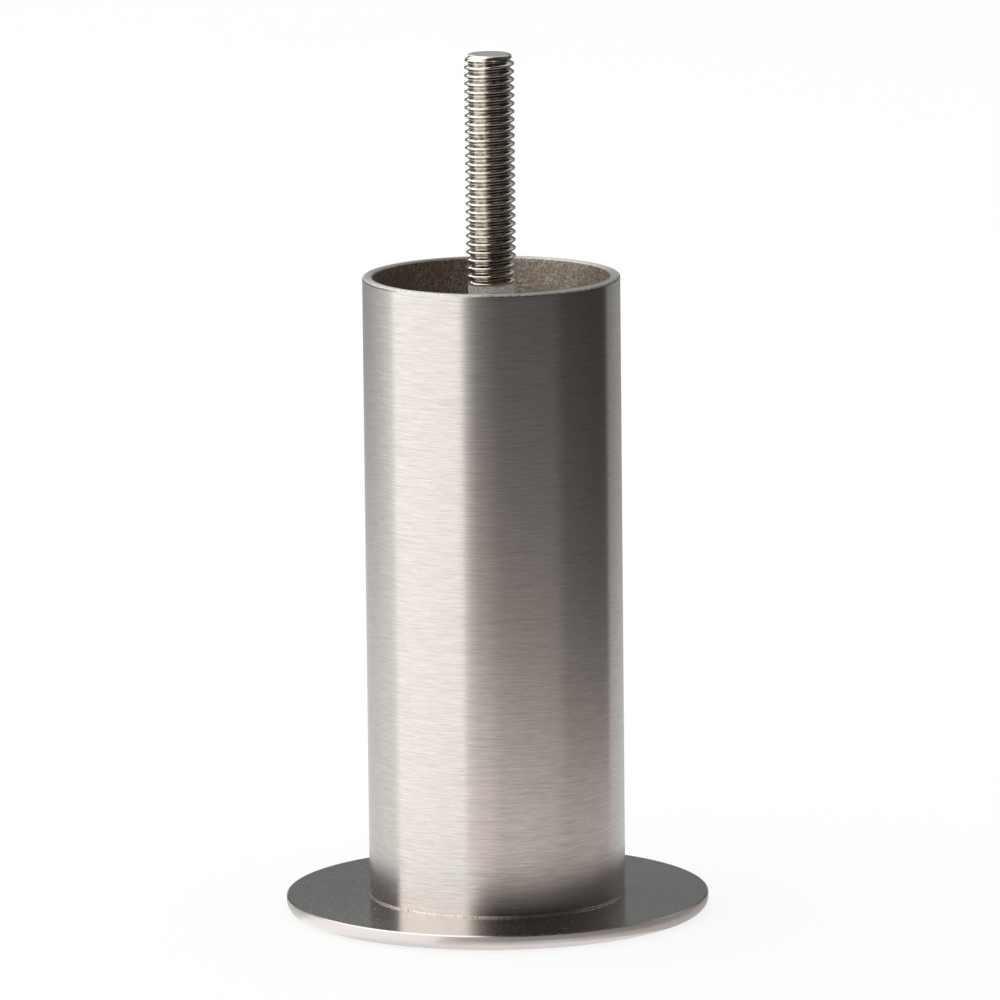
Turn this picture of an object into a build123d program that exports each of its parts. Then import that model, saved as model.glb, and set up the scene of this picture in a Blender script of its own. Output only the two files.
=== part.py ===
from build123d import *
from math import cos, pi, radians, tan
import os

# A furniture leg: a round steel tube stands on a disc foot, and a hex bolt, welded head down to a disc
# inside the tube, stands out of the open top as a stud.
# The origin is the centre of the foot's underside, +Z runs up the leg, and sizes are in millimetres.

# Tube
leg_height = 100.0  # floor to rim
tube_diameter = 40.0
tube_wall = 1.5
rim_outer_round = 0.4
rim_inner_chamfer = 0.2

# Foot, and the fine bead that joins the tube to it
foot_diameter = 66.0
foot_thickness = 2.5
foot_top_chamfer = 0.2
foot_bottom_round = 1.6
seam_leg = 0.4

# Carrier disc inside the tube
carrier_depth = 10.7  # rim to the disc's top
carrier_thickness = 3.0
carrier_clearance = 0.1  # all round, to the tube's bore
carrier_chamfer = 0.3

# M8 x 40 hex bolt, threaded up to a short bare neck at its head
bolt_diameter = 8.0
bolt_length = 40.0  # under the head
point_chamfer = 0.7
neck_length = 4.0
neck_step = 0.4  # the neck's radius is this much less than the thread's
head_sides = 6
head_across_flats = 13.0
head_height = 5.3
head_end_inset = 0.35  # from the flats to the rim of the chamfered end
head_chamfer_angle = 30
washer_face_inset = 0.7  # from the flats to the rim of the washer face
washer_face_height = 0.4

# Weld tacks that hold the disc in the bore, and the bolt's head on the disc
carrier_tack_count = 4
carrier_tack_length = 12.0
carrier_tack_leg = 2.2
head_tack_count = 3
head_tack_length = 6.4
head_tack_leg = 1.8
tack_taper = 2.0  # length of a tack's pointed ends

# Radii and levels that follow
tube_radius = tube_diameter / 2
bore_radius = tube_radius - tube_wall
carrier_top_z = leg_height - carrier_depth
bearing_z = carrier_top_z + head_height
washer_base_z = bearing_z - washer_face_height
thread_end_z = bearing_z + neck_length
tip_z = bearing_z + bolt_length
bolt_radius = bolt_diameter / 2
neck_radius = bolt_radius - neck_step
flat_radius = head_across_flats / 2
corner_radius = flat_radius / cos(pi / head_sides)
head_end_radius = flat_radius - head_end_inset
head_chamfer_rise = (corner_radius - head_end_radius) * tan(radians(head_chamfer_angle))


def make_tack(corner, length, leg):
    """A quarter-round bead with pointed ends, along the corner plane's X axis."""
    with BuildPart() as tack:
        with BuildSketch(corner):
            with BuildLine():
                Polyline(
                    (-length / 2, 0),
                    (length / 2, 0),
                    (length / 2 - tack_taper, leg),
                    (tack_taper - length / 2, leg),
                    close=True,
                )
            make_face()
        revolve(axis=Axis(corner.origin, corner.x_dir), revolution_arc=90)
    return tack.part


# Foot: a stamped disc, crisp at its top edge and rolled round at its lower one
with BuildPart() as foot_plate:
    with BuildSketch():
        Circle(foot_diameter / 2)
    extrude(amount=foot_thickness)
    chamfer(foot_plate.edges().group_by(Axis.Z)[-1], foot_top_chamfer)
    fillet(foot_plate.edges().group_by(Axis.Z)[0], foot_bottom_round)

# Tube: cut square, its rim polished round outside and deburred inside
with BuildPart() as leg_tube:
    with BuildSketch(Plane.XY.offset(foot_thickness)):
        Circle(tube_radius)
        Circle(bore_radius, mode=Mode.SUBTRACT)
    extrude(amount=leg_height - foot_thickness)
    fillet(leg_tube.edges().group_by(Axis.Z)[-1].sort_by(SortBy.RADIUS)[-1], rim_outer_round)
    chamfer(leg_tube.edges().group_by(Axis.Z)[-1].sort_by(SortBy.RADIUS)[0], rim_inner_chamfer)

# Seam: a fine bead in the corner between the tube and the foot
with BuildPart() as foot_seam:
    with BuildSketch(Plane.XZ):
        with BuildLine():
            Polyline(
                (tube_radius, foot_thickness),
                (tube_radius + seam_leg, foot_thickness),
                (tube_radius, foot_thickness + seam_leg),
                close=True,
            )
        make_face()
    revolve(axis=Axis.Z)

# Carrier: a plain disc that drops into the bore
with BuildPart() as carrier_disc:
    with BuildSketch(Plane.XY.offset(carrier_top_z)):
        Circle(bore_radius - carrier_clearance)
    extrude(amount=-carrier_thickness)
    chamfer(carrier_disc.edges().filter_by(GeomType.CIRCLE), carrier_chamfer)

# Carrier tacks: quarter-round beads, trimmed to the bore, that lie between the crossing diameters
with BuildPart() as carrier_tack:
    bore_corner = Plane((0, -bore_radius, carrier_top_z))
    add(make_tack(bore_corner, carrier_tack_length, carrier_tack_leg))
    with BuildSketch(Plane.XY.offset(carrier_top_z)):
        Circle(bore_radius)
    extrude(amount=carrier_tack_leg, mode=Mode.INTERSECT)

with BuildPart() as carrier_tacks:
    with PolarLocations(0, carrier_tack_count, start_angle=180 / carrier_tack_count):
        add(carrier_tack.part)

# Bolt: hexagon head, its chamfered end on the disc and its washer face up, then neck and thread
with BuildPart() as stud_bolt:
    with BuildSketch(Plane.XY.offset(carrier_top_z)):
        RegularPolygon(flat_radius, head_sides, major_radius=False)
    extrude(amount=washer_base_z - carrier_top_z)
    with BuildSketch(Plane.XZ):
        with BuildLine():
            Polyline(
                (0, carrier_top_z),
                (head_end_radius, carrier_top_z),
                (corner_radius, carrier_top_z + head_chamfer_rise),
                (corner_radius, washer_base_z),
                (0, washer_base_z),
                close=True,
            )
        make_face()
    revolve(axis=Axis.Z, mode=Mode.INTERSECT)
    with BuildSketch(Plane.XZ):
        with BuildLine():
            Polyline(
                (0, washer_base_z),
                (flat_radius - washer_face_inset, washer_base_z),
                (flat_radius - washer_face_inset, bearing_z),
                (neck_radius, bearing_z),
                (neck_radius, thread_end_z - neck_step),
                (bolt_radius, thread_end_z),
                (bolt_radius, tip_z - point_chamfer),
                (bolt_radius - point_chamfer, tip_z),
                (0, tip_z),
                close=True,
            )
        make_face()
    revolve(axis=Axis.Z)

# Head tacks: quarter-round beads along every other flat of the head
with BuildPart() as head_tacks:
    head_corner = Plane((0, flat_radius, carrier_top_z))
    with PolarLocations(0, head_tack_count):
        add(make_tack(head_corner, head_tack_length, head_tack_leg))

foot_plate.part.label = "foot_plate"
leg_tube.part.label = "leg_tube"
foot_seam.part.label = "foot_seam"
carrier_disc.part.label = "carrier_disc"
carrier_tacks.part.label = "carrier_tacks"
stud_bolt.part.label = "stud_bolt"
head_tacks.part.label = "head_tacks"

os.makedirs("parts", exist_ok=True)
export_step(foot_plate.part, "parts/foot_plate.step")
export_step(leg_tube.part, "parts/leg_tube.step")
export_step(foot_seam.part, "parts/foot_seam.step")
export_step(carrier_disc.part, "parts/carrier_disc.step")
export_step(carrier_tacks.part, "parts/carrier_tacks.step")
export_step(stud_bolt.part, "parts/stud_bolt.step")
export_step(head_tacks.part, "parts/head_tacks.step")
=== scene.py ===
from collections import namedtuple
from math import ceil, cos, floor, pi, radians, sin, sqrt, tan, tau

import bmesh
import bpy
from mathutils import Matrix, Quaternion, Vector


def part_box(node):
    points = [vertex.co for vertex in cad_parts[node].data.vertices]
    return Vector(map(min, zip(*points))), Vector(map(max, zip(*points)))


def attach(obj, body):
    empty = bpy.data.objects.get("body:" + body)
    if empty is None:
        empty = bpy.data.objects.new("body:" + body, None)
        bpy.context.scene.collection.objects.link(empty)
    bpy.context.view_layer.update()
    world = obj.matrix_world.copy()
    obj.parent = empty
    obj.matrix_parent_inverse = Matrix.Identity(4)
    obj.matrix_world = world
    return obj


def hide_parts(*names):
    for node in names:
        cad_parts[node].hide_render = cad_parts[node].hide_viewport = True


# The looks of a furniture leg: a brushed steel tube on a disc foot, with an M8 bolt as its stud.
# Everything is in metres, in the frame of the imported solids: +Z up the leg, origin under the foot.
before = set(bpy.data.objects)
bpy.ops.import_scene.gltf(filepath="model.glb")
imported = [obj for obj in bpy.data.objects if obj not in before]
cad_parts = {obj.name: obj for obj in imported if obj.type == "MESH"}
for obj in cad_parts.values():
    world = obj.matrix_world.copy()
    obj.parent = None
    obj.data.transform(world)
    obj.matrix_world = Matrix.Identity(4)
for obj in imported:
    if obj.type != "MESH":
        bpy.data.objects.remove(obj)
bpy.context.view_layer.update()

MM = 0.001

# Sizes read from the solids
tube_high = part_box("leg_tube")[1]
seam_low, seam_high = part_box("foot_seam")
tube_radius = tube_high.x
rim_z = tube_high.z
foot_top_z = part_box("foot_plate")[1].z
disc_top_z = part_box("carrier_disc")[1].z
tip_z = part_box("stud_bolt")[1].z
seam_leg = seam_high.z - seam_low.z

# Tube bore, which the boxes don't give
tube_wall = 1.5 * MM
bore_radius = tube_radius - tube_wall

# Bolt, with the solid's sizes and a fillet at the foot of its neck
columns = 96  # around the bolt, a multiple of its head's six sides
head_sides = 6
flat_radius = 6.5 * MM
head_height = 5.3 * MM
head_end_inset = 0.35 * MM
head_chamfer = radians(30)
washer_inset = 0.7 * MM
washer_height = 0.4 * MM
neck_radius = 3.6 * MM
neck_length = 4.0 * MM
neck_fillet = 0.3 * MM
fillet_steps = 4
bearing_z = disc_top_z + head_height
thread_end_z = bearing_z + neck_length

# Thread
pitch = 1.25 * MM
crest_radius = 3.87 * MM
root_radius = 3.19 * MM
crest_half = 0.065 * MM  # half of the crest's flat
crest_round = 0.05 * MM
root_half = 0.05 * MM
root_round = 0.08 * MM
round_drop = 0.03 * MM
crest_edge = crest_half + crest_round  # the flank runs from here
flank_end = pitch / 2 - root_half - root_round
root_edge = pitch / 2 - root_half
run_out = 1.0 * MM  # the groove's depth fades over this length at the neck
spare_turns = 2  # swept past both ends of the thread before it is trimmed
crest_on_left_z = 118.71 * MM  # a crest passes the bolt's -X side here
tip_depth = 0.35 * MM  # of the rounded end above the last turns
tip_face_radius = 2.85 * MM

# Radius of the thread at a distance along the axis from the middle of a crest
thread_profile = (
    (0.0, crest_radius),
    (crest_half, crest_radius),
    (crest_edge, crest_radius - round_drop),
    (flank_end, root_radius + round_drop),
    (root_edge, root_radius),
    (pitch / 2, root_radius),
)

# Largest radius at a depth below the tip, which rounds the end and turns down the first crest
tip_profile = (
    (0.0, 3.14 * MM),
    (0.05 * MM, 3.29 * MM),
    (0.12 * MM, 3.39 * MM),
    (0.22 * MM, 3.45 * MM),
    (tip_depth, 3.47 * MM),
    (0.60 * MM, 3.55 * MM),
    (0.95 * MM, 3.80 * MM),
    (1.05 * MM, crest_radius),
)

# Seam bead
seam_ripples = 236
steps_per_ripple = 6
seam_arc_points = 7
seam_share = 0.52  # the bead's height, as a share of the solid's leg
seam_waves = ((0.05, 7, 0.6), (0.04, 17, 2.1))  # that share's change, times around the tube, phase
seam_ripple_depth = 0.05 * MM
seam_ripple_lag = 0.35  # a ripple bows by this share of its length
seam_lean = 0.45  # the bead reaches out this much of its height

# Weld tacks
carrier_tack_count = 4
carrier_tack_length = 12.0 * MM
carrier_tack_leg = 2.2 * MM
head_tack_count = 3
head_tack_length = 6.4 * MM
head_tack_leg = 1.8 * MM
tack_steps = 48
tack_arc_steps = 8
tack_end_power = 4  # more makes a bead's ends blunter
tack_ripple_pitch = 1.1 * MM
tack_ripple_depth = 0.12  # share of the bead's leg
tack_ripple_lag = 0.4

# Meshes
merge_distance = 0.0005 * MM
stud_sharp_angle = radians(40)
bead_sharp_angle = radians(60)

# Camera
camera_place = Vector((0.0, -1.62246, 0.35564))
camera_aim = Vector((0.00101, 0.0, 0.0646))
camera_roll = radians(-0.588)
camera_lens = 381.585
camera_sensor = 36.0
camera_reach = 10.0  # the far end of what it sees

# Studio
floor_z = -0.0002
floor_half = 2.0
floor_glow = 0.8  # share of the floor's own glow where it is seen
surround_z = -0.0001
shade_start = 35 * MM  # the foot's shadow on the floor begins at this distance from the axis
shade_core = 0.3  # share of the shadow's width that stays dark
shade_depth = 0.98
edge_glow = 0.8  # of the floor close under the foot's edge
edge_end = 45 * MM  # where that glow has faded, from the axis
fade_start = 550  # from here the floor fades to its glow at the horizon, in mm
fade_length = 400
near_falloff = 3  # power by which the near glow falls off
floor_distances = (14, 15.5, 17, 19, 21, 24, 27, 31, 36, 42, 50, 60, 75, 95, 120, 150, 190, 240, 300,
                   380, 480, 620, 800, 1100, 1500)  # from the tube, in mm
wall_steps = 30
wall_top = radians(12)  # above the floor; from here the wall's glow turns into the ceiling's
ceiling_start = radians(50)
blend_step = 4  # degrees between the surround's lines of points, at most
overhead_box = (-0.55, -0.05, -0.20, 0.90, 0.45)  # left, right, front, back, height
overhead_glow = 1.5
cool_grey = Vector((0.95, 1.0, 1.0))
warm_grey = Vector((1.0, 0.96, 0.925))

# What the tube mirrors, by direction. Each stop has degrees turning right from the camera's side; the
# floor's glow near the leg, far off and at the horizon; the distance in mm where the near glow is half
# gone; the radius in mm where the foot's shadow ends; the glow of walls and ceiling; and a warmth from
# 0 to 1.
Stop = namedtuple("Stop", "degrees near far end halfway shade wall ceiling warmth")
surround_stops = (
    Stop(-180, 0.50, 0.26, 0.26, 420, 50, 0.16, 0.50, 0.0),
    Stop(-155, 0.52, 0.26, 0.26, 430, 53, 0.10, 0.50, 0.3),
    Stop(-135, 0.47, 0.40, 0.40, 420, 57, 0.10, 0.50, 0.4),
    Stop(-120, 0.38, 0.60, 0.60, 400, 60, 0.11, 0.50, 0.4),
    Stop(-107, 0.14, 0.87, 0.87, 400, 61, 0.14, 0.60, 0.4),
    Stop(-101.5, 0.06, 1.02, 1.02, 400, 59, 0.20, 0.70, 0.3),
    Stop(-97.5, -0.22, 1.40, 1.40, 50, 0, 1.40, 1.20, 0.3),
    Stop(-75, -0.22, 1.38, 1.38, 50, 0, 1.40, 1.20, 0.3),
    Stop(-40, -0.22, 1.31, 1.33, 50, 0, 1.36, 1.10, 0.3),
    Stop(-29, -0.22, 1.30, 1.32, 50, 0, 1.34, 0.90, 0.3),
    Stop(-23, 0.50, 0.50, 0.40, 260, 45, 0.60, 0.30, 0.6),
    Stop(-15, 0.74, 0.22, 0.12, 230, 58, 0.22, 0.10, 0.8),
    Stop(-6, 0.80, 0.16, 0.04, 215, 66, 0.06, 0.06, 1.0),
    Stop(5, 0.72, 0.12, 0.03, 190, 68, 0.02, 0.04, 1.0),
    Stop(25, 0.73, 0.12, 0.03, 172, 69, 0.02, 0.04, 1.0),
    Stop(57, 0.59, 0.11, 0.03, 187, 69, 0.03, 0.04, 1.0),
    Stop(68, 0.60, 0.07, 0.02, 152, 69, 0.04, 0.04, 1.0),
    Stop(105, 0.60, 0.05, 0.02, 145, 68, 0.07, 0.10, 1.0),
    Stop(122.5, 0.62, 0.05, 0.03, 145, 66, 0.09, 0.30, 1.0),
    Stop(127.5, 0.44, 0.24, 0.22, 230, 64, 0.10, 0.65, 0.7),
    Stop(150, 0.36, 0.32, 0.30, 260, 58, 0.10, 0.70, 0.2),
    Stop(180, 0.30, 0.28, 0.26, 300, 50, 0.16, 0.50, 0.0),
)


def smooth_step(x):
    """0 below 0, 1 above 1, and a smooth rise between."""
    x = min(1.0, max(0.0, x))
    return x * x * (3 - 2 * x)


def follow(points, x):
    """Height at x of the line through the points, level beyond its last one."""
    for (start, first), (end, last) in zip(points, points[1:]):
        if x <= end:
            return first + (last - first) * (x - start) / (end - start)
    return points[-1][1]


def around(radius, angle, height):
    return (radius * cos(angle), radius * sin(angle), height)


def add_object(name, data):
    thing = bpy.data.objects.new(name, data)
    bpy.context.scene.collection.objects.link(thing)
    return thing


def new_mesh(name, vertices, faces, material):
    mesh = bpy.data.meshes.new(name)
    mesh.from_pydata(vertices, [], faces)
    mesh.materials.append(material)
    return mesh


def make_object(name, vertices, faces, material, sharp_angle):
    """A clean, closed mesh from points and faces, smooth but for edges over the sharp angle."""
    mesh = new_mesh(name, vertices, faces, material)
    shell = bmesh.new()
    shell.from_mesh(mesh)
    bmesh.ops.remove_doubles(shell, verts=shell.verts, dist=merge_distance)
    bmesh.ops.dissolve_degenerate(shell, edges=shell.edges, dist=merge_distance)
    bmesh.ops.recalc_face_normals(shell, faces=shell.faces)
    shell.to_mesh(mesh)
    shell.free()
    mesh.shade_smooth()
    mesh.set_sharp_from_angle(angle=sharp_angle)
    return add_object(name, mesh)


def grid_faces(lines, points, lines_meet, points_meet):
    """Faces of a grid of points, line by line. The last line, or a line's last point, may meet the first."""
    faces = []
    for line in range(lines if lines_meet else lines - 1):
        here = line * points
        beside = (line + 1) % lines * points
        for k in range(points if points_meet else points - 1):
            after = (k + 1) % points
            faces.append((here + k, beside + k, beside + after, here + after))
    return faces


def join_parts(parts):
    """One list of points and one of faces, from several parts that have both."""
    vertices = []
    faces = []
    for part_vertices, part_faces in parts:
        first = len(vertices)
        faces += [tuple(first + i for i in face) for face in part_faces]
        vertices += part_vertices
    return vertices, faces


def lathe(rows):
    """Points and faces of a turned shape. Each row, the lowest first, gives (radius, height) at an angle."""
    vertices = []
    for row in rows:
        for column in range(columns):
            angle = tau * column / columns
            radius, height = row(angle)
            vertices.append(around(radius, angle, height))
    return vertices, grid_faces(len(rows), columns, False, True)


def circle_row(radius, height):
    return lambda angle: (radius, height)


def hex_radius(angle):
    """Distance from the axis to the head's flats; corners lie at multiples of 60 degrees."""
    side = tau / head_sides
    return flat_radius / cos(angle % side - side / 2)


def head_rows():
    """The bolt's rows from the end of its head, down on the disc, to the start of the thread."""
    end_radius = flat_radius - head_end_inset
    washer_radius = flat_radius - washer_inset
    washer_base_z = bearing_z - washer_height
    rows = [
        circle_row(0.0, disc_top_z),
        circle_row(end_radius, disc_top_z),
        lambda a: (hex_radius(a), disc_top_z + (hex_radius(a) - end_radius) * tan(head_chamfer)),
        lambda a: (hex_radius(a), washer_base_z),
        circle_row(washer_radius, washer_base_z),
        circle_row(washer_radius, bearing_z),
    ]
    for step in range(fillet_steps + 1):
        turn = pi / 2 * step / fillet_steps
        radius = neck_radius + neck_fillet * (1 - sin(turn))
        rows.append(circle_row(radius, bearing_z + neck_fillet * (1 - cos(turn))))
    rows.append(circle_row(neck_radius, thread_end_z))
    return rows


def bolt_radius(angle, height):
    """The bolt's radius above its neck: the right-hand thread, its run-out and the rounded tip."""
    turns = (height - crest_on_left_z) / pitch - (angle - pi) / tau
    offset = abs((turns + 0.5) % 1.0 - 0.5) * pitch  # from the nearest crest
    cut = smooth_step((height - thread_end_z) / run_out)
    radius = neck_radius + cut * (follow(thread_profile, offset) - neck_radius)
    return min(radius, follow(tip_profile, tip_z - height))


def thread_shell():
    """Points and faces of the thread, swept up a helix and trimmed level at both ends."""
    top_z = tip_z - tip_depth
    half = (crest_half, crest_edge, (crest_edge + flank_end) / 2, flank_end, root_edge)
    offsets = [-pitch / 2] + [-x for x in reversed(half)] + list(half)
    first = floor((thread_end_z - crest_on_left_z) / pitch - spare_turns) * columns
    last = ceil((top_z - crest_on_left_z) / pitch + spare_turns) * columns
    vertices = []
    for step in range(first, last):
        angle = tau * step / columns + pi
        for offset in offsets:
            level = crest_on_left_z + pitch * step / columns + offset
            height = min(top_z, max(thread_end_z, level))
            vertices.append(around(bolt_radius(angle, height), angle, height))
    faces = []
    count = len(offsets)
    for step in range(last - first - columns - 1):
        for k in range(count):
            low = step * count + k
            high = low + 1 if k + 1 < count else (step + columns) * count
            face = (low, low + count, high + count, high)
            heights = {vertices[i][2] for i in face}
            if heights != {top_z} and heights != {thread_end_z}:
                faces.append(face)
    return vertices, faces


def bolt_row(height):
    return lambda angle: (bolt_radius(angle, height), height)


def tip_rows():
    """The bolt's rows above the last turns."""
    depths = [depth for depth, radius in reversed(tip_profile) if depth <= tip_depth]
    rows = [bolt_row(tip_z - depth) for depth in depths]
    rows.append(circle_row(tip_face_radius, tip_z))
    rows.append(circle_row(0.0, tip_z))
    return rows


def make_stud(material):
    """The bolt: hexagon head, washer face, neck, rolled thread and rounded tip in one mesh."""
    vertices, faces = join_parts((thread_shell(), lathe(head_rows()), lathe(tip_rows())))
    stud = make_object("stud_thread", vertices, faces, material, stud_sharp_angle)
    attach(stud, "root")
    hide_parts("stud_bolt")


def ripple_dip(ripples, turn, lag):
    """Depth from 0 to 1 of a weld's ripples, bowed by the lag. They fade at both ends of the bead's arc."""
    bow = sin(2 * turn)
    crest = abs(sin(pi * (ripples - lag * bow)))
    return (1 - crest) * bow


def make_seam(material):
    """The fine bead in the corner between tube and foot, with the ripples of a quick weld run."""
    count = seam_ripples * steps_per_ripple
    vertices = []
    for step in range(count):
        angle = tau * step / count
        wander = sum(change * sin(times * angle + phase) for change, times, phase in seam_waves)
        for k in range(seam_arc_points):
            turn = pi / 2 * k / (seam_arc_points - 1)
            dip = seam_ripple_depth * ripple_dip(step / steps_per_ripple, turn, seam_ripple_lag)
            leg = seam_leg * (seam_share + wander) - dip
            out = seam_lean * leg * cos(turn)
            vertices.append(around(tube_radius + out, angle, foot_top_z + leg * sin(turn)))
        vertices.append(around(tube_radius, angle, foot_top_z))
    faces = grid_faces(count, seam_arc_points + 1, True, True)
    seam = make_object("seam_bead", vertices, faces, material, bead_sharp_angle)
    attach(seam, "root")
    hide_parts("foot_seam")


def bead_shell(place, length, leg):
    """Points and faces of one rippled fillet bead. place(along, out, up) puts a point in its corner."""
    vertices = []
    for i in range(tack_steps + 1):
        share = 2 * i / tack_steps - 1
        along = share * length / 2
        size = leg * sqrt(max(0.0, 1 - share ** tack_end_power))
        for k in range(tack_arc_steps + 1):
            turn = pi / 2 * k / tack_arc_steps
            dip = tack_ripple_depth * ripple_dip(along / tack_ripple_pitch, turn, tack_ripple_lag)
            reach = size * (1 - dip)
            vertices.append(place(along, reach * cos(turn), reach * sin(turn)))
        vertices.append(place(along, 0.0, 0.0))
    return vertices, grid_faces(tack_steps + 1, tack_arc_steps + 2, False, True)


def bore_place(middle):
    """Puts a bead in the corner between the disc and the tube's bore."""
    def place(along, out, up):
        return around(bore_radius - out, middle + along / bore_radius, disc_top_z + up)
    return place


def flat_place(middle):
    """Puts a bead in the corner between the disc and one flat of the bolt's head."""
    def place(along, out, up):
        reach = flat_radius + out
        x = reach * cos(middle) - along * sin(middle)
        y = reach * sin(middle) + along * cos(middle)
        return (x, y, disc_top_z + up)
    return place


def make_beads(name, node, places, length, leg, material):
    """Weld beads of one size, one in each place, that stand in for a node of the solids."""
    vertices, faces = join_parts([bead_shell(place, length, leg) for place in places])
    beads = make_object(name, vertices, faces, material, bead_sharp_angle)
    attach(beads, "root")
    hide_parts(node)


def set_inputs(tree, node, inputs):
    """Fills a shader node's inputs. Each is a value, or a socket to link from."""
    for name, value in inputs.items():
        if isinstance(value, bpy.types.NodeSocket):
            tree.links.new(value, node.inputs[name])
        else:
            node.inputs[name].default_value = value


def add_node(tree, kind, inputs=None, **settings):
    """A new shader node with these inputs and settings."""
    node = tree.nodes.new(kind)
    for name, value in settings.items():
        setattr(node, name, value)
    set_inputs(tree, node, inputs or {})
    return node


def new_material(name):
    """A material with one Principled shader: (material, its node tree, the shader)."""
    material = bpy.data.materials.new(name)
    material.use_nodes = True
    tree = material.node_tree
    return material, tree, tree.nodes["Principled BSDF"]


def colour(red, green, blue):
    return (red, green, blue, 1.0)


def object_point(tree):
    return add_node(tree, "ShaderNodeTexCoord").outputs["Object"]


def arithmetic(tree, operation, first, second):
    return add_node(tree, "ShaderNodeMath", {0: first, 1: second}, operation=operation).outputs[0]


def remap(tree, value, low, high, to_low=0.0, to_high=1.0):
    inputs = {"Value": value, "From Min": low, "From Max": high, "To Min": to_low, "To Max": to_high}
    return add_node(tree, "ShaderNodeMapRange", inputs).outputs["Result"]


def mix_value(tree, share, first, second):
    return add_node(tree, "ShaderNodeMix", {0: share, 2: first, 3: second}).outputs[0]


def mix_colour(tree, share, first, second):
    node = add_node(tree, "ShaderNodeMix", {0: share, 6: first, 7: second}, data_type="RGBA")
    return node.outputs[2]


def shades(tree, value, span, first, second):
    """A colour that goes from the first to the second over a span of the value."""
    return mix_colour(tree, remap(tree, value, *span), first, second)


def scaled(tree, vector, scale):
    node = add_node(tree, "ShaderNodeVectorMath", {0: vector, 1: scale}, operation="MULTIPLY")
    return node.outputs["Vector"]


def noise(tree, vector, scale, detail, roughness):
    """Noise from 0 to 1, with its own scale along each axis, in cells per metre."""
    inputs = {"Vector": scaled(tree, vector, scale), "Scale": 1.0, "Detail": detail, "Roughness": roughness}
    return add_node(tree, "ShaderNodeTexNoise", inputs).outputs["Fac"]


def axis_distance(tree, point):
    """Distance from the leg's axis."""
    flat = scaled(tree, point, (1.0, 1.0, 0.0))
    return add_node(tree, "ShaderNodeVectorMath", {0: flat}, operation="LENGTH").outputs["Value"]


def height_of(tree, point):
    return add_node(tree, "ShaderNodeSeparateXYZ", {0: point}).outputs["Z"]


def bump(tree, height, strength, distance):
    inputs = {"Height": height, "Strength": strength, "Distance": distance}
    return add_node(tree, "ShaderNodeBump", inputs).outputs["Normal"]


def radial_tangent(tree):
    return add_node(tree, "ShaderNodeTangent", direction_type="RADIAL", axis="Z").outputs["Tangent"]


# Values of the materials. A grain is a noise: cells per metre along X, Y and Z, detail and roughness. A span
# is a range that turns into 0 to 1, or into its last two numbers. A bump has a strength and a distance.
around_axis = 0.25  # the quarter turn that lays the brushing around the axis

# Tube: its brushed outside
brush_fine = ((330.0, 330.0, 7500.0), 3.0, 0.7)
brush_broad = ((120.0, 120.0, 3200.0), 3.0, 0.6)
brush_broad_share = 0.25
brush_span = (0.33, 0.67)
brush_dark = colour(0.53, 0.484, 0.457)
brush_light = colour(0.76, 0.698, 0.665)
brush_roughness_span = (0.3, 0.7, 0.205, 0.17)
tube_anisotropy = 0.55
tube_bump = (0.12, 0.03 * MM)
tube_relief_span = (rim_z - 1.0 * MM, rim_z - 0.4 * MM, 1.0, 0.0)

# Tube: its bare bore
wall_span = (tube_radius - 1.32 * MM, tube_radius - 1.22 * MM)  # from the bore's look to the outside's
bore_speck = ((2600.0, 2600.0, 2600.0), 4.0, 0.75)
bore_span = (0.37, 0.65)
bore_dark = colour(0.21, 0.165, 0.125)
bore_light = colour(0.93, 0.86, 0.78)
bore_patch = ((220.0, 220.0, 220.0), 3.0, 0.6)
bore_patch_span = (0.4, 0.65, 0.0, 0.65)
bore_brown = colour(0.46, 0.36, 0.265)
bore_roughness = 0.6
bore_relief = 7.0  # times the relief of the brushing

# Tube: its cut rim
rim_span = (rim_z - 0.40 * MM, rim_z - 0.15 * MM)
rim_speck_span = (0.35, 0.65)
rim_dark = colour(0.56, 0.55, 0.535)
rim_light = colour(0.95, 0.93, 0.905)
rim_level_span = (tube_radius - 0.55 * MM, tube_radius - 0.35 * MM, 0.2, 0.0)  # inside the rounded edge
rim_level_grey = colour(0.36, 0.35, 0.34)
rim_roughness = 0.55


def brushed_tube():
    """Steel brushed around the tube outside; bare, speckled and brownish in the bore; a plain cut rim."""
    material, tree, shader = new_material("brushed_tube")
    point = object_point(tree)
    reach = axis_distance(tree, point)
    height = height_of(tree, point)
    out = remap(tree, reach, *wall_span)
    rim = remap(tree, height, *rim_span)

    fine = noise(tree, point, *brush_fine)
    broad = noise(tree, point, *brush_broad)
    streak = mix_value(tree, brush_broad_share, fine, broad)
    outside = shades(tree, streak, brush_span, brush_dark, brush_light)

    speck = noise(tree, point, *bore_speck)
    patch = noise(tree, point, *bore_patch)
    bare = shades(tree, speck, bore_span, bore_dark, bore_light)
    inside = shades(tree, patch, bore_patch_span, bare, bore_brown)

    cut = shades(tree, speck, rim_speck_span, rim_dark, rim_light)
    cut = shades(tree, reach, rim_level_span, cut, rim_level_grey)

    body = mix_colour(tree, out, inside, outside)
    skin = mix_value(tree, out, bore_roughness, remap(tree, streak, *brush_roughness_span))
    relief = mix_value(tree, out, arithmetic(tree, "MULTIPLY", speck, bore_relief), streak)
    relief = arithmetic(tree, "MULTIPLY", relief, remap(tree, height, *tube_relief_span))
    set_inputs(tree, shader, {
        "Base Color": mix_colour(tree, rim, body, cut),
        "Metallic": 1.0,
        "Roughness": mix_value(tree, rim, skin, rim_roughness),
        "Anisotropic": tube_anisotropy,
        "Anisotropic Rotation": around_axis,
        "Tangent": radial_tangent(tree),
        "Normal": bump(tree, relief, *tube_bump),
    })
    return material


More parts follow.
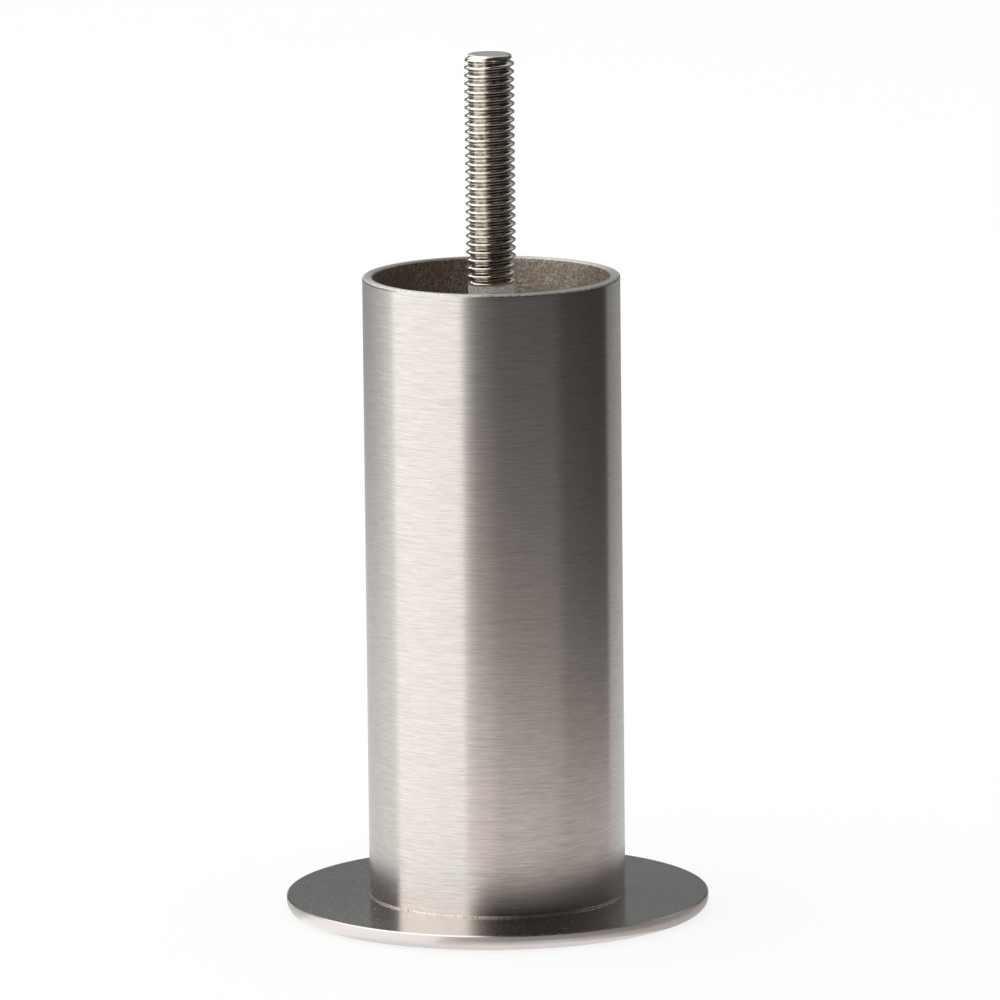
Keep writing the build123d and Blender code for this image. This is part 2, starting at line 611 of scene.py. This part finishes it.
# Foot
foot_rings = ((4500.0, 4500.0, 1.0), 3.0, 0.6)  # along the radius and the height
foot_grit = ((900.0, 900.0, 900.0), 4.0, 0.75)
foot_grit_share = 0.7
foot_span = (0.3, 0.7)
foot_dark = colour(0.74, 0.695, 0.67)
foot_light = colour(0.92, 0.87, 0.845)
foot_cloud = ((140.0, 140.0, 400.0), 3.0, 0.6)
foot_cloud_span = (0.4, 0.7, 0.0, 0.4)
foot_grey = colour(0.72, 0.665, 0.64)
foot_roughness_span = (0.3, 0.7, 0.15, 0.20)
foot_pits = ((1700.0, 1700.0, 1700.0), 2.0, 0.5)
foot_pit_span = (0.62, 0.72)
foot_pit_roughness = 0.30
foot_edge_span = (foot_top_z - 0.20 * MM, foot_top_z - 0.05 * MM, 1.0, 0.0)
foot_edge_grey = 0.75  # share of the grey on the edge
foot_edge_roughness = 0.34
foot_anisotropy = 0.3
foot_bump = (0.1, 0.02 * MM)


def satin_foot():
    """Steel with fine turned rings on the foot's top, and a tumbled edge."""
    material, tree, shader = new_material("satin_foot")
    point = object_point(tree)
    height = height_of(tree, point)
    turned = add_node(tree, "ShaderNodeCombineXYZ", {"X": axis_distance(tree, point), "Y": height})
    rings = noise(tree, turned.outputs[0], *foot_rings)
    grit = noise(tree, point, *foot_grit)
    cloud = noise(tree, point, *foot_cloud)
    mixed = mix_value(tree, foot_grit_share, rings, grit)
    top = shades(tree, mixed, foot_span, foot_dark, foot_light)
    top = shades(tree, cloud, foot_cloud_span, top, foot_grey)
    pits = remap(tree, noise(tree, point, *foot_pits), *foot_pit_span)
    satin = mix_value(tree, pits, remap(tree, cloud, *foot_roughness_span), foot_pit_roughness)
    edge = remap(tree, height, *foot_edge_span)
    set_inputs(tree, shader, {
        "Base Color": mix_colour(tree, arithmetic(tree, "MULTIPLY", edge, foot_edge_grey), top, foot_grey),
        "Metallic": 1.0,
        "Roughness": mix_value(tree, edge, satin, foot_edge_roughness),
        "Anisotropic": foot_anisotropy,
        "Anisotropic Rotation": around_axis,
        "Tangent": radial_tangent(tree),
        "Normal": bump(tree, mixed, *foot_bump),
    })
    return material


# Bolt: its plating, and the shade painted in its thread
plate_cloud = ((420.0, 420.0, 900.0), 3.0, 0.6)
plate_span = (0.3, 0.7)
plate_dark = colour(0.75, 0.69, 0.61)
plate_light = colour(0.91, 0.855, 0.785)
plate_roughness_span = (0.3, 0.7, 0.08, 0.13)
plate_scuff = ((500.0, 500.0, 7000.0), 2.0, 0.6)
thread_shade_shift = 0.3 * MM  # how far the plating's clouds move the rim of the painted shade in the roots
# Painted shade in the roots of the thread, fading out towards the crests
thread_root_shade_span = (root_radius + 0.10 * MM, root_radius + 0.40 * MM, 0.6, 0.0)
underside_shade_span = (-0.8, -0.3, 0.92, 0.0)  # painted shade on the turns' downward-facing flanks, over the upward part of the surface's direction
# Blotches that vary the painted shade, and the painted shade's dark brown colour
shade_blotch = ((900.0, 900.0, 1400.0), 3.0, 0.6)
shade_blotch_span = (0.35, 0.65, 0.45, 1.15)
painted_shade_brown = colour(0.12, 0.10, 0.08)
bolt_bump = (0.15, 0.015 * MM)

# Bolt: its bare neck
neck_low_span = (bearing_z - 0.1 * MM, bearing_z + 0.4 * MM)
neck_high_span = (thread_end_z - 0.1 * MM, thread_end_z + 0.5 * MM, 1.0, 0.0)
neck_grit = ((4200.0, 4200.0, 4200.0), 2.0, 0.6)
neck_span = (0.375, 0.625)
neck_dark = colour(0.42, 0.38, 0.33)
neck_light = colour(0.86, 0.82, 0.75)
neck_metal = 0.5
neck_roughness = 0.6
neck_relief = 8.0  # times the relief of the scuffs

# Bolt: its rounded end, and the flat face on it
end_span = (tip_z - 0.40 * MM, tip_z - 0.30 * MM)
end_colour = colour(0.95, 0.93, 0.90)
end_roughness = 0.28
face_span = (tip_z - 0.04 * MM, tip_z - 0.01 * MM)
face_grey = colour(0.66, 0.66, 0.66)
face_roughness = 0.4


def bolt_painted_shade(tree, point, cloud):
    """Share of painted shade: in the roots of the thread and under its turns, in blotches."""
    moved = arithmetic(tree, "MULTIPLY", cloud, thread_shade_shift)
    reach = arithmetic(tree, "ADD", axis_distance(tree, point), moved)
    roots = remap(tree, reach, *thread_root_shade_span)
    facing = add_node(tree, "ShaderNodeNewGeometry").outputs["Normal"]
    under = remap(tree, height_of(tree, facing), *underside_shade_span)
    blotch = remap(tree, noise(tree, point, *shade_blotch), *shade_blotch_span)
    return arithmetic(tree, "MULTIPLY", arithmetic(tree, "MAXIMUM", roots, under), blotch)


def bright_bolt():
    """Bright, slightly warm plating, with shade painted in the thread, a dull neck and a clean end."""
    material, tree, shader = new_material("bright_bolt")
    point = object_point(tree)
    height = height_of(tree, point)
    above_head = remap(tree, height, *neck_low_span)
    below_thread = remap(tree, height, *neck_high_span)
    neck = arithmetic(tree, "MULTIPLY", above_head, below_thread)
    end = remap(tree, height, *end_span)
    face = remap(tree, height, *face_span)

    cloud = noise(tree, point, *plate_cloud)
    plate = shades(tree, cloud, plate_span, plate_dark, plate_light)
    # Painted shade in the thread's roots and under its turns
    turned = mix_colour(tree, bolt_painted_shade(tree, point, cloud), plate, painted_shade_brown)
    turned = mix_colour(tree, end, turned, end_colour)
    turned = mix_colour(tree, face, turned, face_grey)
    grit = noise(tree, point, *neck_grit)
    dull = shades(tree, grit, neck_span, neck_dark, neck_light)

    shine = mix_value(tree, end, remap(tree, cloud, *plate_roughness_span), end_roughness)
    shine = mix_value(tree, neck, shine, neck_roughness)
    scuff = noise(tree, point, *plate_scuff)
    relief = mix_value(tree, neck, scuff, arithmetic(tree, "MULTIPLY", grit, neck_relief))
    set_inputs(tree, shader, {
        "Base Color": mix_colour(tree, neck, turned, dull),
        "Metallic": mix_value(tree, neck, 1.0, neck_metal),
        "Roughness": mix_value(tree, face, shine, face_roughness),
        "Normal": bump(tree, relief, *bolt_bump),
    })
    return material


# Seam
seam_tint = ((1900.0, 1900.0, 1900.0), 3.0, 0.6)
seam_tint_span = (0.46, 0.64)
seam_straw = colour(0.98, 0.90, 0.71)
seam_brown = colour(0.44, 0.32, 0.20)
seam_grit = ((4000.0, 4000.0, 4000.0), 2.0, 0.6)
seam_grit_span = (0.5, 0.7, 0.0, 0.6)
seam_pale = colour(0.97, 0.93, 0.82)
seam_top_span = (foot_top_z + 0.05 * MM, foot_top_z + 0.10 * MM)
seam_grey = colour(0.62, 0.575, 0.55)
seam_roughness_span = (0.3, 0.7, 0.25, 0.42)
seam_bump = (0.3, 0.02 * MM)


def straw_seam():
    """Weld metal with a straw heat tint along its top that turns brown in places."""
    material, tree, shader = new_material("straw_seam")
    point = object_point(tree)
    tint = noise(tree, point, *seam_tint)
    grit = noise(tree, point, *seam_grit)
    straw = shades(tree, tint, seam_tint_span, seam_straw, seam_brown)
    straw = shades(tree, grit, seam_grit_span, straw, seam_pale)
    set_inputs(tree, shader, {
        "Base Color": shades(tree, height_of(tree, point), seam_top_span, seam_grey, straw),
        "Metallic": 1.0,
        "Roughness": remap(tree, grit, *seam_roughness_span),
        "Normal": bump(tree, grit, *seam_bump),
    })
    return material


# Carrier disc
disc_scale = ((300.0, 300.0, 300.0), 4.0, 0.65)
disc_scale_span = (0.4, 0.65)
disc_light = colour(0.40, 0.365, 0.335)
disc_dark = colour(0.19, 0.165, 0.15)
disc_grit = ((2400.0, 2400.0, 2400.0), 3.0, 0.6)
disc_roughness_span = (0.3, 0.7, 0.42, 0.6)
disc_bump = (0.35, 0.04 * MM)
heat_shift = 3.0 * MM  # how far the scale moves the rim of the blued part
heat_span = (9.0 * MM, 12.5 * MM, 0.6, 0.0)
heat_blue = colour(0.17, 0.16, 0.20)


def raw_disc():
    """Dull bare steel with mill scale, blued by the weld's heat around the bolt's head."""
    material, tree, shader = new_material("raw_disc")
    point = object_point(tree)
    scale = noise(tree, point, *disc_scale)
    grit = noise(tree, point, *disc_grit)
    base = shades(tree, scale, disc_scale_span, disc_light, disc_dark)
    moved = arithmetic(tree, "MULTIPLY", scale, heat_shift)
    reach = arithmetic(tree, "ADD", axis_distance(tree, point), moved)
    set_inputs(tree, shader, {
        "Base Color": shades(tree, reach, heat_span, base, heat_blue),
        "Metallic": 1.0,
        "Roughness": remap(tree, grit, *disc_roughness_span),
        "Normal": bump(tree, grit, *disc_bump),
    })
    return material


# Weld tacks
weld_tint = ((420.0, 420.0, 420.0), 3.0, 0.6)
weld_tint_span = (0.35, 0.65)
weld_brown = colour(0.30, 0.235, 0.19)
weld_blue = colour(0.20, 0.20, 0.235)
weld_grit = ((3600.0, 3600.0, 3600.0), 2.0, 0.6)
weld_roughness_span = (0.3, 0.7, 0.34, 0.52)
weld_bump = (0.3, 0.03 * MM)


def dark_weld():
    """Dark weld metal with brown and blue tints."""
    material, tree, shader = new_material("dark_weld")
    point = object_point(tree)
    tint = noise(tree, point, *weld_tint)
    grit = noise(tree, point, *weld_grit)
    set_inputs(tree, shader, {
        "Base Color": shades(tree, tint, weld_tint_span, weld_brown, weld_blue),
        "Metallic": 1.0,
        "Roughness": remap(tree, grit, *weld_roughness_span),
        "Normal": bump(tree, grit, *weld_bump),
    })
    return material


# Colours of the studio
white = colour(1.0, 1.0, 1.0)
paper_white = colour(0.92, 0.92, 0.92)
softbox_white = colour(1.0, 0.985, 0.97)


def empty_material(name):
    """A material without nodes: (material, its node tree)."""
    material = bpy.data.materials.new(name)
    material.use_nodes = True
    material.node_tree.nodes.clear()
    return material, material.node_tree


def glow_material(name):
    """A light-giving material: (material, its node tree, the light's node)."""
    material, tree = empty_material(name)
    glow = add_node(tree, "ShaderNodeEmission")
    add_node(tree, "ShaderNodeOutputMaterial", {"Surface": glow.outputs[0]})
    return material, tree, glow


def seen_directly(tree):
    """1 for rays that show the floor itself: to the camera, in metal or through glass."""
    path = add_node(tree, "ShaderNodeLightPath")
    shown = arithmetic(tree, "MAXIMUM", path.outputs["Is Camera Ray"], path.outputs["Is Glossy Ray"])
    return arithmetic(tree, "MAXIMUM", shown, path.outputs["Is Transmission Ray"])


def white_floor():
    """White paper with a glow of its own where it is seen, which leaves a soft shadow on it."""
    material, tree = empty_material("white_floor")
    paper = add_node(tree, "ShaderNodeBsdfDiffuse", {"Color": paper_white})
    glow = add_node(tree, "ShaderNodeEmission", {"Color": white, "Strength": 1.0})
    share = arithmetic(tree, "MULTIPLY", seen_directly(tree), floor_glow)
    both = add_node(tree, "ShaderNodeMixShader", {0: share, 1: paper.outputs[0], 2: glow.outputs[0]})
    add_node(tree, "ShaderNodeOutputMaterial", {"Surface": both.outputs[0]})
    return material


def sheet_mesh(name, left, right, front, back, height, material):
    """A level rectangle."""
    corners = [(left, front, height), (right, front, height), (right, back, height), (left, back, height)]
    return new_mesh(name, corners, [(0, 1, 2, 3)], material)


def make_floor():
    half = floor_half
    mesh = sheet_mesh("studio_floor", -half, half, -half, half, floor_z, white_floor())
    sheet = add_object("studio_floor", mesh)


def make_stage_piece(name, mesh):
    """A studio piece that the camera doesn't see and that casts no shadow."""
    piece = add_object(name, mesh)
    piece.visible_camera = False
    piece.visible_shadow = False
    return piece


def make_overhead_softbox():
    """A level softbox above the leg, on its left."""
    material, tree, glow = glow_material("softbox_glow")
    set_inputs(tree, glow, {"Color": softbox_white, "Strength": overhead_glow})
    make_stage_piece("overhead_softbox", sheet_mesh("overhead_softbox", *overhead_box, material))


def blended_stops():
    """The surround's stops with even steps between them."""
    blended = []
    for first, last in zip(surround_stops, surround_stops[1:]):
        count = ceil((last.degrees - first.degrees) / blend_step)
        for step in range(count):
            share = step / count
            blended.append(Stop(*(x + (y - x) * share for x, y in zip(first, last))))
    blended.append(surround_stops[-1])
    return blended


def mirrored_floor(turn, distance):
    """The floor point that the front of the tube mirrors at this distance, towards this direction."""
    x = tube_radius * sin(turn / 2) + distance * sin(turn)
    y = -tube_radius * cos(turn / 2) - distance * cos(turn)
    return Vector((x, y, 0.0))


def floor_shade(reach, shade):
    """1 in the light. The floor is bright close under the foot's edge, then lies in the foot's shadow."""
    if shade <= shade_start:
        return 1.0
    core = shade_start + shade_core * (shade - shade_start)
    lit = smooth_step((reach - core) / (shade - core))
    edge = edge_glow * smooth_step((edge_end - reach) / (edge_end - shade_start))
    return max(edge, 1 - shade_depth * (1 - lit))


def floor_light(stop, distance, reach):
    """The floor's glow at a distance from the tube in mm, and a reach from the leg's axis in metres."""
    light = stop.far + (stop.end - stop.far) * smooth_step((distance - fade_start) / fade_length)
    light += stop.near / (1 + (distance / stop.halfway) ** near_falloff)
    return light * floor_shade(reach, stop.shade * MM)


def wall_light(stop, rise):
    """The glow of wall and ceiling at an angle above the floor."""
    share = smooth_step((rise - wall_top) / (ceiling_start - wall_top))
    return stop.wall + (stop.ceiling - stop.wall) * share


def surround_line(stop):
    """Points and tints of the surround in one direction: out along the floor, then up and over."""
    turn = radians(stop.degrees)
    grey = cool_grey.lerp(warm_grey, stop.warmth)
    points = []
    tints = []
    for distance in floor_distances:
        place = mirrored_floor(turn, distance * MM)
        points.append((place.x, place.y, surround_z))
        tints.append(grey * floor_light(stop, distance, place.length))
    wall_foot = mirrored_floor(turn, floor_distances[-1] * MM)
    for step in range(1, wall_steps + 1):
        rise = pi / 2 * step / wall_steps
        above = wall_foot * cos(rise)
        points.append((above.x, above.y, wall_foot.length * sin(rise)))
        tints.append(grey * wall_light(stop, rise))
    return points, tints


def make_surround():
    """The room as the metal mirrors it: a graded floor and dim walls, with a bright side on the left."""
    stops = blended_stops()
    vertices = []
    tints = []
    for stop in stops:
        line_points, line_tints = surround_line(stop)
        vertices += line_points
        tints += line_tints
    faces = grid_faces(len(stops), len(floor_distances) + wall_steps, True, False)
    material, tree, glow = glow_material("surround_glow")
    colours = add_node(tree, "ShaderNodeAttribute", attribute_name="glow")
    set_inputs(tree, glow, {"Color": colours.outputs["Color"], "Strength": 1.0})
    mesh = new_mesh("studio_surround", vertices, faces, material)
    stored = mesh.attributes.new("glow", "FLOAT_COLOR", "POINT")
    for value, tint in zip(stored.data, tints):
        value.color = colour(*tint)
    surround = make_stage_piece("studio_surround", mesh)
    surround.visible_diffuse = False


def make_world():
    """A white room, which lights the leg and is the backdrop."""
    world = bpy.data.worlds.new("white_room")
    world.use_nodes = True
    tree = world.node_tree
    tree.nodes.clear()
    room = add_node(tree, "ShaderNodeBackground", {"Color": white, "Strength": 1.0})
    add_node(tree, "ShaderNodeOutputWorld", {"Surface": room.outputs[0]})
    bpy.context.scene.world = world


def make_camera():
    """A long lens in front of the leg and a little above it, turned slightly on its axis."""
    data = bpy.data.cameras.new("camera")
    data.lens = camera_lens
    data.sensor_width = camera_sensor
    data.clip_end = camera_reach
    camera = add_object("camera", data)
    camera.location = camera_place
    camera.rotation_mode = "QUATERNION"
    facing = (camera_aim - camera_place).to_track_quat("-Z", "Y")
    camera.rotation_quaternion = facing @ Quaternion((0.0, 0.0, 1.0), camera_roll)
    bpy.context.scene.camera = camera


# The tube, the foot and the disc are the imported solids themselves
tube_material = brushed_tube()
foot_material = satin_foot()
disc_material = raw_disc()
weld_material = dark_weld()
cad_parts["leg_tube"].material_slots[0].material = tube_material
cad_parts["foot_plate"].material_slots[0].material = foot_material
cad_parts["carrier_disc"].material_slots[0].material = disc_material

# The bolt, the seam and the tacks take the place of their solids
make_stud(bright_bolt())
make_seam(straw_seam())
bore_places = [bore_place(tau * (k + 0.5) / carrier_tack_count) for k in range(carrier_tack_count)]
make_beads("disc_weld_beads", "carrier_tacks", bore_places,
           carrier_tack_length, carrier_tack_leg, weld_material)
flat_places = [flat_place(pi / 2 + tau * k / head_tack_count) for k in range(head_tack_count)]
make_beads("head_weld_beads", "head_tacks", flat_places,
           head_tack_length, head_tack_leg, weld_material)

make_floor()
make_surround()
make_overhead_softbox()
make_world()
make_camera()
bpy.context.scene.view_settings.view_transform = "Standard"
